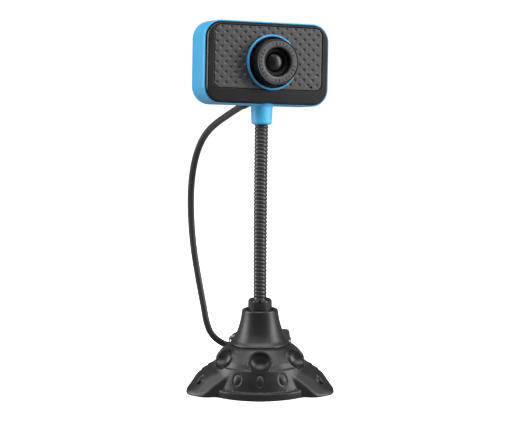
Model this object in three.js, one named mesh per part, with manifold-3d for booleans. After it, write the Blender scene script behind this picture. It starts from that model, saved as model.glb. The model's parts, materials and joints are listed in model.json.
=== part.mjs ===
// A desk webcam: a camera head on a flexible gooseneck, standing in a weighted base with three feet.
// Millimetres, +Z up. The origin is on the table, on the neck's axis, and the front is towards -Y.
import * as THREE from 'three';
import { mergeVertices } from 'three/addons/utils/BufferGeometryUtils.js';
import Module from 'manifold-3d';

const wasm = await Module();
wasm.setup();

// ---- driving dimensions ----
const GAP = 0.3;
const DEG = Math.PI / 180;

const RIM_R = 33;
const RIM_H = 4.4;
const SKIRT_R = 31.5;
const DOME_R = 26.6;
const DOME_Z = 16.8;
const BELL_SEAM_R = 18;
const BELL_Z = 27.4;
const BELL_TOP_Z = 47.5;
const COLLAR_R = 7;
const COLLAR_TOP = 53.5;
const COLLAR_NOTCHES = 8;
const FEET = [{ angle: 90 * DEG, front: 0 }, { angle: 200 * DEG, front: 1 }, { angle: 340 * DEG, front: -1 }];
const FOOT_TIP_R = 45;
const FOOT_TIP_HALF = 12.5;
const FOOT_ROOT_HALF = 16.8;
const FOOT_ROOT_R = 20;
const FOOT_SIDE_REACH = 20;
const FOOT_HOLE_R = 37;
const FOOT_HOLE = 1.6;
const FOOT_BOSS = 3.2;
const FOOT_WALL = 1.8;
const FOOT_TOP = [
  [FOOT_TIP_R + 1, 2.2], [41, 4.6], [38, 7], [35, 10.4], [31, 13.2], [27, 15.2], [FOOT_ROOT_R, 16.6],
];
const FOOT_BEVEL = { height: 45.8, along: 0.989, across: 0.564 };
const DIMPLE_COUNT = 6;
const DIMPLE_R = 6.3;
const DIMPLE_DEPTH = 2.3;
const BOSS_R = 26;
const COVER_SCREW_COUNT = 3;
const COVER_R = 30.7;
const COVER_Z = 1.1;
const COVER_T = 1.5;
const PAD_R = 20;
const PAD_T = 0.8;

const NECK_R = 3.75;
const NECK_LENGTH = 102;
const LINK_COUNT = 6;
const LINK = NECK_LENGTH / LINK_COUNT;
const BALL_R = 2.3;
const SOCKET_R = 2.6;
const SOCKET_LIP = 1.45;
const LINK_TOP = 2.95;
const STALK_R = 1.3;
const LINK_SIDES = 14;
const NECK_TILT = 6.3 * DEG;
const NECK_LEAN = 9 * DEG;
const HEAD_YAW = 25 * DEG;

const HEAD_W = 79;
const HEAD_H = 48;
const HEAD_CORNER = 10.4;
const STEM_H = 11;
const STEM_R = 6.3;
const STEM_BORE = NECK_R + GAP;
const STEM_TOP = 14.5;
const HEAD_MID = STEM_H + HEAD_H / 2;
const SHELL_BACK = -14.3;
const SHELL_FRONT = 6.5;
const SHELL_FILLET = 4;
const SHELL_WALL = 1.8;
const RIM_WALL = 0.85;
const REBATE_BACK = 2;
const COVER_FRONT = 8.6;
const PANEL_W = 68;
const PANEL_H = 35.9;
const PANEL_Y = 38.2;
const PANEL_CORNER = 4;
const PANEL_BACK = 7.3;
const LENS_X = 1.8;
const LENS_Y = 35.6;
const TRIM_R = 15.95;
const TRIM_SLEEVE_R = 15.2;
const TRIM_FRONT = 10.3;
const FOCUS_R = 13.2;
const FOCUS_BORE = 8.1;
const FOCUS_FRONT = 17.3;
const FOCUS_WEB = 14.3;
const FOCUS_BACK = 7.5;
const MIC_X = 27.3;
const MIC_Y = 22;
const MIC_HOLE_R = 0.7;
const BOARD_FRONT = -4;
const BOARD_T = 1.4;
const BOARD_SCREW_X = 25;
const BOARD_SCREW_Y = 50;
const SHELL_SCREW_X = 34;
const GLAND_Y = 14.8;
const GLAND_DROOP = 14 * DEG;
const GLAND_LENGTH = 12.7;

const CORD_D = 4.2;
const HANK_LENGTH = 64;
const HANK_Y = 84;
const HANK_FOLD_R = 12.6;
const HANK_LANES = 2;
const HANK_LAYERS = 3;
const HANK_BOTTOM = 0.9;
const TIE_WIDTH = 8;
const TIE_Y = 88;
const TIE_THICKNESS = 0.7;
const PLUG_X = -5.8;
const PLUG_Y = 84;
const PLUG_Z = 18.5;
const PLUG_GRIP_LENGTH = 22;
const PLUG_SHELL_LENGTH = 18.2;

// The cord from the gland to where it meets the hank, and from the hank to the plug.
const CORD_DROP = [
  [-10.32, 31.06, 164.43], [-15.6, 41.9, 160.3], [-21, 53, 155.9], [-26.4, 64, 151.2],
  [-31.4, 74.4, 145.9], [-35.9, 83.8, 138.9], [-39.6, 91.6, 129.6], [-42.2, 97.6, 118.4],
  [-43.6, 101.8, 106], [-43.9, 104.6, 93], [-43.4, 106.4, 79.8], [-42.2, 107.4, 66.6],
  [-40.3, 107.9, 53.5], [-38, 108, 40], [-36.1, 108, 29.5], [-34.3, 108.1, 19.5],
  [-32, 108.6, 13], [-27.6, 109.3, 7.7], [-21.6, 110.3, 4.2], [-14.9, 111.5, 3],
];
const CORD_TAIL = [
  [16.8, 83, 15.9], [16.8, 77, 15.9], [16.8, 71, 15.9], [15.1, 64.7, 16.2], [10.5, 60.1, 16.4],
  [4.2, 58.4, 16.7], [-2.1, 60.1, 17], [-6.7, 64.7, 17.2], [-8.4, 71, 17.5], [-7.6, 77.2, 18.1],
  [-6.2, 81, 18.4], [-5.8, 83.4, 18.5],
];

// ---- materials ----
function finish(color, roughness, metalness = 0) {
  return new THREE.MeshStandardMaterial({ color, roughness, metalness });
}
const BLACK = () => finish(0x17181a, 0.38);
const BLUE = () => finish(0x4aaee0, 0.35);
const GREY = () => finish(0x3b3c3f, 0.55);
const STEEL = () => finish(0xb4b6b9, 0.3, 1);
const RUBBER = () => finish(0x141414, 0.8);
const BOARD_GREEN = () => finish(0x1d5a33, 0.5);
const GLASS = () => finish(0x24303c, 0.05);

// ---- shape helpers ----
function signedVolume(geometry) {
  const p = geometry.attributes.position;
  const index = geometry.index.array;
  const [a, b, c] = [new THREE.Vector3(), new THREE.Vector3(), new THREE.Vector3()];
  let sum = 0;
  for (let i = 0; i < index.length; i += 3) {
    a.fromBufferAttribute(p, index[i]);
    b.fromBufferAttribute(p, index[i + 1]);
    c.fromBufferAttribute(p, index[i + 2]);
    sum += a.dot(b.cross(c));
  }
  return sum / 6;
}

// Shared vertices merged, flat triangles dropped, faces pointing out.
function closed(geometry) {
  const bare = geometry.clone();
  bare.deleteAttribute('normal');
  bare.deleteAttribute('uv');
  const merged = mergeVertices(bare, 1e-4);
  const from = merged.index.array;
  const index = [];
  for (let i = 0; i < from.length; i += 3) {
    const [a, b, c] = [from[i], from[i + 1], from[i + 2]];
    if (a !== b && b !== c && c !== a) {
      index.push(a, b, c);
    }
  }
  merged.setIndex(index);
  if (signedVolume(merged) < 0) {
    merged.setIndex(index.reverse());
  }
  return merged;
}

function solid(geometry) {
  const shape = closed(geometry);
  return new wasm.Manifold(new wasm.Mesh({
    numProp: 3,
    vertProperties: new Float32Array(shape.attributes.position.array),
    triVerts: new Uint32Array(shape.index.array),
  }));
}

function surface(manifold) {
  const { vertProperties, triVerts } = manifold.getMesh();
  const geometry = new THREE.BufferGeometry();
  geometry.setAttribute('position', new THREE.BufferAttribute(vertProperties, 3));
  geometry.setIndex(new THREE.BufferAttribute(triVerts, 1));
  return geometry;
}

function join(first, ...others) {
  return others.reduce((sum, other) => sum.add(other), first);
}

function cut(first, ...others) {
  return others.reduce((rest, other) => rest.subtract(other), first);
}

function piece(parent, name, shape, material) {
  const geometry = shape.isBufferGeometry ? closed(shape) : surface(shape);
  const mesh = new THREE.Mesh(geometry, material);
  mesh.name = name;
  parent.add(mesh);
  return mesh;
}

// A turned shape about Z from [radius, z] points.
function turned(points, segments = 32) {
  const profile = points.map(([r, z]) => new THREE.Vector2(r, z));
  return new THREE.LatheGeometry(profile, segments).rotateX(Math.PI / 2);
}

function ring(points, segments) {
  return turned([...points, points[0]], segments);
}

function rod(radius, z0, z1, segments = 24) {
  const height = z1 - z0;
  const geometry = new THREE.CylinderGeometry(radius, radius, height, segments);
  return geometry.rotateX(Math.PI / 2).translate(0, 0, (z0 + z1) / 2);
}

function block([x0, x1], [y0, y1], [z0, z1]) {
  const geometry = new THREE.BoxGeometry(x1 - x0, y1 - y0, z1 - z0);
  return geometry.translate((x0 + x1) / 2, (y0 + y1) / 2, (z0 + z1) / 2);
}

function roundedRect(width, height, radius) {
  const [x, y] = [width / 2, height / 2];
  const shape = new THREE.Shape();
  shape.moveTo(x - radius, -y);
  shape.absarc(x - radius, -y + radius, radius, -90 * DEG, 0, false);
  shape.absarc(x - radius, y - radius, radius, 0, 90 * DEG, false);
  shape.absarc(-x + radius, y - radius, radius, 90 * DEG, 180 * DEG, false);
  shape.absarc(-x + radius, -y + radius, radius, 180 * DEG, 270 * DEG, false);
  return shape;
}

function prism(shape, z0, z1, curveSegments = 4) {
  const options = { depth: z1 - z0, bevelEnabled: false, curveSegments };
  return new THREE.ExtrudeGeometry(shape, options).translate(0, 0, z0);
}

// A rounded slab from z0 to z1 whose two faces have edges rounded by edge.
function slab(width, height, corner, edge, z0, z1) {
  const shape = roundedRect(width - 2 * edge, height - 2 * edge, corner - edge);
  const options = {
    depth: z1 - z0 - 2 * edge,
    bevelThickness: edge,
    bevelSize: edge,
    bevelSegments: 2,
    curveSegments: 4,
  };
  return new THREE.ExtrudeGeometry(shape, options).translate(0, 0, z0 + edge);
}

function arc(cx, cy, radius, from, to, steps) {
  const points = [];
  for (let i = 0; i <= steps; i += 1) {
    const angle = from + (to - from) * i / steps;
    points.push([cx + radius * Math.cos(angle), cy + radius * Math.sin(angle)]);
  }
  return points;
}

function tube(points, diameter, step, sides = 8) {
  const curve = new THREE.CatmullRomCurve3(points.map((p) => new THREE.Vector3(...p)));
  const section = new THREE.Shape();
  arc(0, 0, diameter / 2, 0, 360 * DEG * (1 - 1 / sides), sides - 1).forEach(([x, y], i) => {
    if (i === 0) {
      section.moveTo(x, y);
    } else {
      section.lineTo(x, y);
    }
  });
  const steps = Math.round(curve.getLength() / step);
  return new THREE.ExtrudeGeometry(section, { steps, extrudePath: curve });
}

// ---- base ----
function footOutline(inset) {
  const tip = FOOT_TIP_HALF - inset;
  const centre = FOOT_TIP_R - FOOT_TIP_HALF;
  const shape = new THREE.Shape();
  shape.moveTo(FOOT_ROOT_R, inset - FOOT_ROOT_HALF);
  shape.lineTo(centre, -tip);
  shape.absarc(centre, 0, tip, -90 * DEG, 90 * DEG, false);
  shape.lineTo(FOOT_ROOT_R, FOOT_ROOT_HALF - inset);
  shape.closePath();
  return shape;
}

// The foot's side outline, in radius and height, lowered by the wall.
function footProfile(drop) {
  const shape = new THREE.Shape();
  shape.moveTo(FOOT_ROOT_R, -1);
  shape.lineTo(FOOT_TIP_R + 1, -1);
  for (const [r, z] of FOOT_TOP) {
    shape.lineTo(r, z - drop);
  }
  shape.closePath();
  return shape;
}

// What the bevel takes off: everything over a plane that slopes down along the foot and towards the front.
function footBevel(front, drop) {
  const normal = new THREE.Vector3(FOOT_BEVEL.along, front * FOOT_BEVEL.across, 1).normalize();
  const turn = new THREE.Quaternion().setFromUnitVectors(new THREE.Vector3(0, 0, 1), normal);
  const height = FOOT_BEVEL.height - FOOT_HOLE_R * FOOT_BEVEL.along - drop;
  const over = block([-60, 60], [-60, 60], [0, 60]).applyQuaternion(turn);
  return solid(over.translate(FOOT_HOLE_R, 0, height));
}

function footBlock(front, inset, drop, bottom) {
  const plan = prism(footOutline(inset), bottom, 20, 6);
  const side = prism(footProfile(drop), -FOOT_SIDE_REACH, FOOT_SIDE_REACH).rotateX(Math.PI / 2);
  const body = solid(plan).intersect(solid(side));
  return front ? cut(body, footBevel(front, 1.5 * drop)) : body;
}

function spun(geometry, angle) {
  return geometry.rotateZ(angle);
}

function foot({ angle, front }) {
  const post = solid(rod(FOOT_BOSS, 0.6, 12, 12).translate(FOOT_HOLE_R, 0, 0));
  const boss = post.intersect(footBlock(front, 0, 0, 0));
  const hole = solid(rod(FOOT_HOLE, -1, 12, 12).translate(FOOT_HOLE_R, 0, 0));
  const beyondRim = solid(block([RIM_R + 0.2, 60], [-20, 20], [-2, 20]));
  const hollow = footBlock(front, FOOT_WALL, 2, -0.5).intersect(beyondRim);
  const shape = cut(join(cut(footBlock(front, 0, 0, 0), hollow), boss), hole);
  return solid(spun(surface(shape), angle));
}

function baseShell() {
  const outside = turned([
    [0, 0], [RIM_R, 0], [RIM_R, RIM_H - 0.5], [RIM_R - 0.5, RIM_H], [SKIRT_R + 0.2, RIM_H],
    [SKIRT_R - 0.4, RIM_H + 1.4], [29.6, 11], [27.3, DOME_Z - 0.5], [DOME_R, DOME_Z],
    [25, 19.6], [22.1, 23.2], [19.3, 26.4], [BELL_SEAM_R, BELL_Z], [0, BELL_Z],
  ], 36);
  const inside = turned([
    [0, -1], [31, -1], [31, 5], [28.6, 6.4], [27.2, 12], [23, 16], [14, BELL_Z - 2], [0, BELL_Z - 2],
  ], 24);
  const feet = FEET.map(foot);
  const bosses = bossAngles().map((a) => solid(spun(rod(3, 3, 16, 12).translate(BOSS_R, 0, 0), a)));
  const bores = bossAngles().map((a) => solid(spun(rod(1.6, 0, 11, 12).translate(BOSS_R, 0, 0), a)));
  const dome = solid(outside);
  const footless = cut(dome, solid(inside));
  const clear = solid(rod(31, -1, 2.9, 24));
  const bowls = [];
  const bowlR = (DIMPLE_R ** 2 + DIMPLE_DEPTH ** 2) / (2 * DIMPLE_DEPTH);
  const slope = new THREE.Vector2(24.1, 20.7);
  const normal = new THREE.Vector2(0.77, 0.64).multiplyScalar(bowlR - DIMPLE_DEPTH);
  for (let i = 0; i < DIMPLE_COUNT; i += 1) {
    const ball = new THREE.SphereGeometry(bowlR, 16, 12);
    ball.translate(slope.x + normal.x, 0, slope.y + normal.y);
    bowls.push(solid(spun(ball, (90 + 360 * i / DIMPLE_COUNT) * DEG)));
  }
  const outerFeet = feet.map((shape) => cut(shape, solid(inside)));
  const neckHole = solid(rod(3.7, 20, 32, 20));
  const body = join(footless, ...outerFeet, ...bosses.map((b) => b.intersect(dome)));
  return cut(body, clear, neckHole, ...bores, ...bowls);
}

function bossAngles() {
  return Array.from({ length: COVER_SCREW_COUNT }, (_, i) => (30 + 360 * i / COVER_SCREW_COUNT) * DEG);
}

function bellSleeve() {
  const foot = BELL_Z + GAP;
  return ring([
    [14.8, foot], [17.7, foot], [17.5, foot + 0.7], [15.8, 29.8], [13.4, 34.4], [11.7, 39.7],
    [10.6, 45], [10.3, BELL_TOP_Z - 0.7], [9.5, BELL_TOP_Z], [COLLAR_R + 0.7, BELL_TOP_Z],
    [COLLAR_R + 0.7, 43], [8.6, 42], [11, 35],
  ], 32);
}

function neckCollar() {
  const body = ring([
    [NECK_R + GAP, BELL_Z + GAP], [COLLAR_R, BELL_Z + GAP], [COLLAR_R, COLLAR_TOP - 1.3],
    [COLLAR_R - 1.5, COLLAR_TOP], [NECK_R + GAP, COLLAR_TOP],
  ], 32);
  const notches = [];
  for (let i = 0; i < COLLAR_NOTCHES; i += 1) {
    const notch = block([4.9, 9], [-0.5, 0.5], [COLLAR_TOP - 1.6, COLLAR_TOP + 1]);
    notches.push(solid(spun(notch, 360 * i / COLLAR_NOTCHES * DEG)));
  }
  return cut(solid(body), ...notches);
}

// A ball on a stalk on top of a link, with its centre at z.
function ballPoints(z) {
  const from = -Math.acos(STALK_R / BALL_R);
  return [[STALK_R, z - LINK_TOP], ...arc(0, z, BALL_R, from, 60 * DEG, 4), [0, z + BALL_R]];
}

function socketPoints() {
  const to = -Math.asin(SOCKET_LIP / SOCKET_R);
  return [[0, SOCKET_R], ...arc(0, 0, SOCKET_R, 65 * DEG, to, 3)];
}

const FIRST_PIVOT = COLLAR_TOP + LINK / 2;

function neckFerrule() {
  const top = FIRST_PIVOT - LINK_TOP;
  return turned([
    [0, 19], [3.4, 19], [3.4, BELL_Z + 0.8], [NECK_R, BELL_Z + 0.8], [NECK_R, top - 0.4],
    [NECK_R - 0.4, top], ...ballPoints(FIRST_PIVOT),
  ], LINK_SIDES);
}

function neckLink() {
  const top = LINK - LINK_TOP;
  return turned([
    ...socketPoints(), [NECK_R - 0.4, -SOCKET_LIP], [NECK_R, -SOCKET_LIP + 0.4], [NECK_R, top - 0.4],
    [NECK_R - 0.4, top], ...ballPoints(LINK),
  ], LINK_SIDES);
}

// The last link carries the head: its end runs up through the stem and takes the retaining nut.
function lastLink() {
  const stem = LINK / 2;
  return turned([
    ...socketPoints(), [NECK_R - 0.4, -SOCKET_LIP], [NECK_R, -SOCKET_LIP + 0.4],
    [NECK_R, stem + STEM_TOP - 0.4], [2.6, stem + STEM_TOP], [2.6, stem + STEM_TOP + 3.6],
    [0, stem + STEM_TOP + 3.6],
  ], LINK_SIDES);
}

function hexNut(across, bore, z0, z1) {
  const corner = across / 2 / Math.cos(30 * DEG);
  return cut(solid(rod(corner, z0, z1, 6)), solid(rod(bore, z0 - 1, z1 + 1, 18)));
}

function screw(headR, shankR, headBottom, headTop, end) {
  return turned([
    [0, headBottom], [headR, headBottom], [headR, headTop], [shankR, headTop], [shankR, end], [0, end],
  ], 12);
}

const model = new THREE.Group();
piece(model, 'base_shell', baseShell(), BLACK());
piece(model, 'bell_sleeve', bellSleeve(), BLACK());
piece(model, 'neck_collar', neckCollar(), BLACK());
piece(model, 'neck_ferrule', neckFerrule(), STEEL());
piece(model, 'neck_lock_nut', hexNut(10, 3.7, 22.2, BELL_Z - 2 - GAP), STEEL());
piece(model, 'counterweight', ring([[7, 3.2], [21.6, 3.2], [21.6, 12.6], [7, 12.6]], 36), STEEL());
const coverHoles = bossAngles().map((a) => solid(spun(rod(2.9, 0, 4, 12).translate(BOSS_R, 0, 0), a)));
const coverDisc = solid(rod(COVER_R, COVER_Z, COVER_Z + COVER_T, 48));
piece(model, 'bottom_cover', cut(coverDisc, ...coverHoles), BLACK());
piece(model, 'non_slip_pad', rod(PAD_R, 0, PAD_T, 40), RUBBER());
bossAngles().forEach((a, i) => {
  const shape = spun(screw(2.6, 1.3, 1.1, 2.6, 10).translate(BOSS_R, 0, 0), a);
  piece(model, `cover_screw_${i + 1}`, shape, STEEL());
});

// ---- gooseneck ----
const bendAxis = new THREE.Vector3(-Math.cos(NECK_LEAN), Math.sin(NECK_LEAN), 0);
let carrier = new THREE.Group();
carrier.position.z = FIRST_PIVOT;
model.add(carrier);
for (let i = 1; i <= LINK_COUNT; i += 1) {
  carrier.setRotationFromAxisAngle(bendAxis, NECK_TILT / LINK_COUNT);
  piece(carrier, `neck_link_${i}`, i < LINK_COUNT ? neckLink() : lastLink(), BLACK());
  if (i < LINK_COUNT) {
    const next = new THREE.Group();
    next.position.z = LINK;
    carrier.add(next);
    carrier = next;
  }
}
const nutZ = LINK / 2 + STEM_TOP + GAP;
piece(carrier, 'neck_retaining_nut', hexNut(8.5, 2.9, nutZ, nutZ + 2.8), STEEL());

// ---- camera head: in this group x is right, y is up the stem and z is forward ----
const head = new THREE.Group();
head.position.z = LINK / 2;
head.rotation.z = HEAD_YAW;
carrier.add(head);
const face = new THREE.Group();
face.rotation.x = Math.PI / 2;
head.add(face);

function upright(geometry) {
  return geometry.rotateX(-Math.PI / 2);
}

function rearShell() {
  const outer = slab(HEAD_W, HEAD_H, HEAD_CORNER, SHELL_FILLET, SHELL_BACK, 20).translate(0, HEAD_MID, 0);
  const inset = 2 * SHELL_WALL;
  const innerCorner = HEAD_CORNER - SHELL_WALL;
  const inner = slab(HEAD_W - inset, HEAD_H - inset, innerCorner, 2.4, SHELL_BACK + SHELL_WALL, 24);
  inner.translate(0, HEAD_MID, 0);
  const rebate = prism(
    roundedRect(HEAD_W - 2 * RIM_WALL, HEAD_H - 2 * RIM_WALL, HEAD_CORNER - RIM_WALL), REBATE_BACK, 20,
  ).translate(0, HEAD_MID, 0);
  const front = block([-60, 60], [-10, 80], [SHELL_FRONT, 40]);
  const stem = upright(turned([
    [0, 0], [5.7, 0], [6, 0.4], [6.05, 4], [STEM_R, STEM_H - 1], [STEM_R, STEM_H + 1],
    [5.6, STEM_H + 1], [5.6, STEM_TOP], [0, STEM_TOP],
  ], 32));
  const bore = upright(rod(STEM_BORE, -1, STEM_TOP + 2, 24));
  let shape = cut(solid(outer), solid(inner), solid(front));
  const bosses = [];
  const bores = [];
  for (const side of [-1, 1]) {
    const [bx, by] = [side * BOARD_SCREW_X, BOARD_SCREW_Y];
    bosses.push(solid(rod(2.8, SHELL_BACK + 1, BOARD_FRONT - BOARD_T - GAP, 12).translate(bx, by, 0)));
    bores.push(solid(rod(1.4, -11.5, 0, 12).translate(bx, by, 0)));
    bosses.push(solid(rod(3.4, SHELL_BACK + 1, -10, 12).translate(side * SHELL_SCREW_X, HEAD_MID, 0)));
    bores.push(solid(rod(1.5, -20, 0, 12).translate(side * SHELL_SCREW_X, HEAD_MID, 0)));
    bores.push(solid(rod(2.7, -20, -12.4, 12).translate(side * SHELL_SCREW_X, HEAD_MID, 0)));
  }
  const glandHole = solid(atGland(rod(2.6, -5, 5, 16)));
  const glandSeat = solid(atGland(rod(3.2, SHELL_WALL, 6, 16)));
  shape = join(shape, solid(stem), ...bosses);
  return cut(shape, solid(bore), solid(rebate), glandHole, glandSeat, ...bores);
}

function frontBezel() {
  const edge = 1.2;
  const inset = 2 * (RIM_WALL + GAP);
  const corner = HEAD_CORNER - RIM_WALL - GAP;
  const outer = slab(HEAD_W - inset, HEAD_H - inset, corner, edge, REBATE_BACK + GAP, COVER_FRONT);
  outer.translate(0, HEAD_MID, 0);
  const wall = inset + 2 * SHELL_WALL;
  const hollow = prism(roundedRect(HEAD_W - wall, HEAD_H - wall, corner - SHELL_WALL), 0, 5.6);
  hollow.translate(0, HEAD_MID, 0);
  const pocketOutline = roundedRect(PANEL_W + 2 * GAP, PANEL_H + 2 * GAP, PANEL_CORNER + GAP);
  const pocket = prism(pocketOutline, PANEL_BACK - GAP, 12);
  const window = prism(roundedRect(PANEL_W - 3, PANEL_H - 3, PANEL_CORNER - 1.5), 0, 12);
  pocket.translate(0, PANEL_Y, 0);
  window.translate(0, PANEL_Y, 0);
  const lensHole = rod(TRIM_SLEEVE_R + GAP, 0, 12, 32).translate(LENS_X, LENS_Y, 0);
  const neckRoom = block([-6.2, 6.2], [11, 19], [0, 5.55]);
  const openings = [hollow, pocket, window, lensHole, neckRoom].map(solid);
  const body = cut(solid(outer), ...openings);
  const posts = [-1, 1].map((side) => {
    const post = rod(2.6, -9.6, 7, 12).translate(side * SHELL_SCREW_X, HEAD_MID, 0);
    const bore = rod(1.5, -12, 1, 12).translate(side * SHELL_SCREW_X, HEAD_MID, 0);
    return cut(solid(post), solid(bore));
  });
  const pocketAgain = solid(pocket);
  return join(body, ...posts.map((post) => cut(post, pocketAgain)));
}

function frontPanel() {
  const outline = roundedRect(PANEL_W, PANEL_H, PANEL_CORNER);
  const sheet = prism(outline, PANEL_BACK, COVER_FRONT).translate(0, PANEL_Y, 0);
  const lensHole = rod(TRIM_SLEEVE_R + GAP, 0, 12, 32).translate(LENS_X, LENS_Y, 0);
  const micHole = rod(MIC_HOLE_R, 0, 12, 10).translate(MIC_X, MIC_Y, 0);
  return cut(solid(sheet), solid(lensHole), solid(micHole));
}

function lensHolder() {
  const base = block([-8.5, 8.5], [-8.5, 8.5], [BOARD_FRONT + GAP, -1]);
  const barrelTube = rod(7.6, -1.2, 9, 28);
  const bore = rod(6.3, -1.5, 12, 28);
  const pocket = block([-4.5, 4.5], [-4.5, 4.5], [-6, -1.4]);
  return cut(join(solid(base), solid(barrelTube)), solid(bore), solid(pocket));
}

// The gland points back and down out of the shell's lower edge. Its own z is 0 at the back face.
function atGland(geometry) {
  return geometry.rotateX(-GLAND_DROOP).translate(0, GLAND_Y, SHELL_BACK);
}

function gland() {
  return atGland(turned([
    [0, 3.4], [2.9, 3.4], [2.9, 2.1], [2.3, 2.1], [2.3, -1.1], [3.6, -1.1], [3.6, -2.1],
    [3.1, -2.9], [2.5, -GLAND_LENGTH], [0, -GLAND_LENGTH],
  ], 16));
}

piece(face, 'rear_shell', rearShell(), BLUE());
piece(face, 'front_bezel', frontBezel(), BLACK());
piece(face, 'front_panel', frontPanel(), GREY());
piece(face, 'lens_trim_ring', ring([
  [8, 4.2], [TRIM_SLEEVE_R, 4.2], [TRIM_SLEEVE_R, 8.9], [TRIM_R, 8.9], [TRIM_R, TRIM_FRONT - 0.4],
  [TRIM_R - 0.4, TRIM_FRONT], [14.85, TRIM_FRONT], [14.45, TRIM_FRONT - 0.4], [14.45, 5.4], [8, 5.4],
], 36).translate(LENS_X, LENS_Y, 0), BLUE());
piece(face, 'lens_holder', surface(lensHolder()).translate(LENS_X, LENS_Y, 0), BLACK());
const sensor = block([-3, 3], [-3, 3], [BOARD_FRONT + GAP, -2.6]);
piece(face, 'image_sensor', sensor.translate(LENS_X, LENS_Y, 0), GREY());
const filter = block([-4.2, 4.2], [-4.2, 4.2], [-2.3, -1.8]);
piece(face, 'ir_filter', filter.translate(LENS_X, LENS_Y, 0), GLASS());
const boardHoles = [-1, 1].map((side) => {
  const hole = rod(1.5, -9, 0, 12);
  return solid(hole.translate(side * BOARD_SCREW_X, BOARD_SCREW_Y, 0));
});
const boardSheet = solid(block([-29, 29], [20.5, 54.5], [BOARD_FRONT - BOARD_T, BOARD_FRONT]));
piece(face, 'main_board', cut(boardSheet, ...boardHoles), BOARD_GREEN());
piece(face, 'cord_connector', block([-13, -3], [22, 27], [-9.7, BOARD_FRONT - BOARD_T - GAP]), GREY());
const lead = [[0, 16, -10.2], [-1, 16.4, -9], [-4, 17.6, -8.2], [-7, 19.2, -7.8], [-8, 21.4, -7.8]];
piece(face, 'cord_lead', tube(lead, 2.4, 2.5), RUBBER());
piece(face, 'microphone', rod(2, 2.2, 5.2, 14).translate(MIC_X, MIC_Y, 0), STEEL());
for (const [i, side] of [-1, 1].entries()) {
  const boardScrew = screw(2.2, 1.1, -2.1, BOARD_FRONT + GAP, -11);
  boardScrew.translate(side * BOARD_SCREW_X, BOARD_SCREW_Y, 0);
  piece(face, `board_screw_${i + 1}`, boardScrew, STEEL());
  const shellScrew = screw(2.4, 1.2, -14, -12.7, -1);
  shellScrew.translate(side * SHELL_SCREW_X, HEAD_MID, 0);
  piece(face, `shell_screw_${i + 1}`, shellScrew, STEEL());
}
piece(face, 'cord_gland', gland(), RUBBER());

// ---- lens and focus ring ----
const optics = new THREE.Group();
optics.position.set(LENS_X, LENS_Y, 0);
face.add(optics);
piece(optics, 'lens_barrel', ring([
  [3.4, -1], [6, -1], [6, 11.5], [7.8, 11.5], [7.8, 14], [6.9, 14], [5.9, 13], [5.9, 11.2], [3.4, 11.2],
], 24), BLACK());
piece(optics, 'front_lens', turned([
  [0, 11.5], [5.6, 11.5], [5.6, 12.3], [4.6, 13.1], [3, 13.7], [0, 14],
], 20), GLASS());
piece(optics, 'rear_lens', turned([
  [0, 0.2], [3.1, 0.2], [3.1, 1.6], [1.8, 2.2], [0, 2.4],
], 16), GLASS());
piece(optics, 'focus_ring', ring([
  [FOCUS_BORE, FOCUS_BACK], [9.4, FOCUS_BACK], [9.4, FOCUS_WEB], [12, FOCUS_WEB], [12, FOCUS_BACK],
  [FOCUS_R, FOCUS_BACK],
  [FOCUS_R, FOCUS_FRONT - 0.8], [FOCUS_R - 0.8, FOCUS_FRONT], [FOCUS_BORE + 0.7, FOCUS_FRONT],
  [FOCUS_BORE, FOCUS_FRONT - 0.6],
], 32), GREY());

// ---- cord ----
function hank() {
  const outer = HANK_FOLD_R + CORD_D * (HANK_LANES - 0.5);
  const inner = HANK_FOLD_R - CORD_D / 2;
  const outline = roundedRect(2 * outer, HANK_LENGTH, outer - 0.01);
  outline.holes.push(roundedRect(2 * inner, HANK_LENGTH - 2 * (outer - inner), inner - 0.01));
  const top = HANK_BOTTOM + HANK_LAYERS * CORD_D;
  return prism(outline, HANK_BOTTOM, top, 8).translate(0, HANK_Y, 0);
}

function cordTie() {
  const side = HANK_FOLD_R + CORD_D * (HANK_LANES - 0.5) + GAP;
  const top = HANK_BOTTOM + HANK_LAYERS * CORD_D + GAP;
  const reach = side + TIE_THICKNESS;
  const [near, far] = [TIE_Y - TIE_WIDTH / 2, TIE_Y + TIE_WIDTH / 2];
  const outside = block([-reach, reach], [near, far], [0, top + TIE_THICKNESS]);
  const inside = block([-side, side], [TIE_Y - TIE_WIDTH, TIE_Y + TIE_WIDTH], [HANK_BOTTOM - GAP, top]);
  return cut(solid(outside), solid(inside));
}

const plug = new THREE.Group();
plug.position.set(PLUG_X, PLUG_Y, PLUG_Z);
plug.rotation.x = Math.PI / 2;
model.add(plug);

function plugGrip() {
  const body = slab(11.6, 7.4, 1.8, 0.8, -PLUG_GRIP_LENGTH, -5);
  const relief = rod(3, -6, 0, 14);
  return join(solid(body), solid(relief));
}

function plugShell() {
  const [near, far] = [-PLUG_GRIP_LENGTH - GAP, -PLUG_GRIP_LENGTH - PLUG_SHELL_LENGTH];
  const outside = prism(roundedRect(12, 4.5, 0.6), far, near, 2);
  const inside = prism(roundedRect(11.4, 3.9, 0.3), far - 1, near - 1, 2);
  return cut(solid(outside), solid(inside));
}

function plugTongue() {
  const [near, far] = [-PLUG_GRIP_LENGTH - GAP - 1.3, -PLUG_GRIP_LENGTH - PLUG_SHELL_LENGTH + 0.6];
  return block([-5.4, 5.4], [-1.65, 0.2], [far, near]);
}

piece(plug, 'plug_grip', plugGrip(), BLACK());
piece(plug, 'plug_shell', plugShell(), STEEL());
piece(plug, 'plug_tongue', plugTongue(), BLACK());
piece(model, 'usb_cord_drop', tube(CORD_DROP, CORD_D, 2.5 * CORD_D), RUBBER());
piece(model, 'usb_cord_tail', tube(CORD_TAIL, CORD_D, 2 * CORD_D), RUBBER());
piece(model, 'usb_cord_hank', hank(), RUBBER());
piece(model, 'cord_tie', cordTie(), RUBBER());

export default model;
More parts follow.
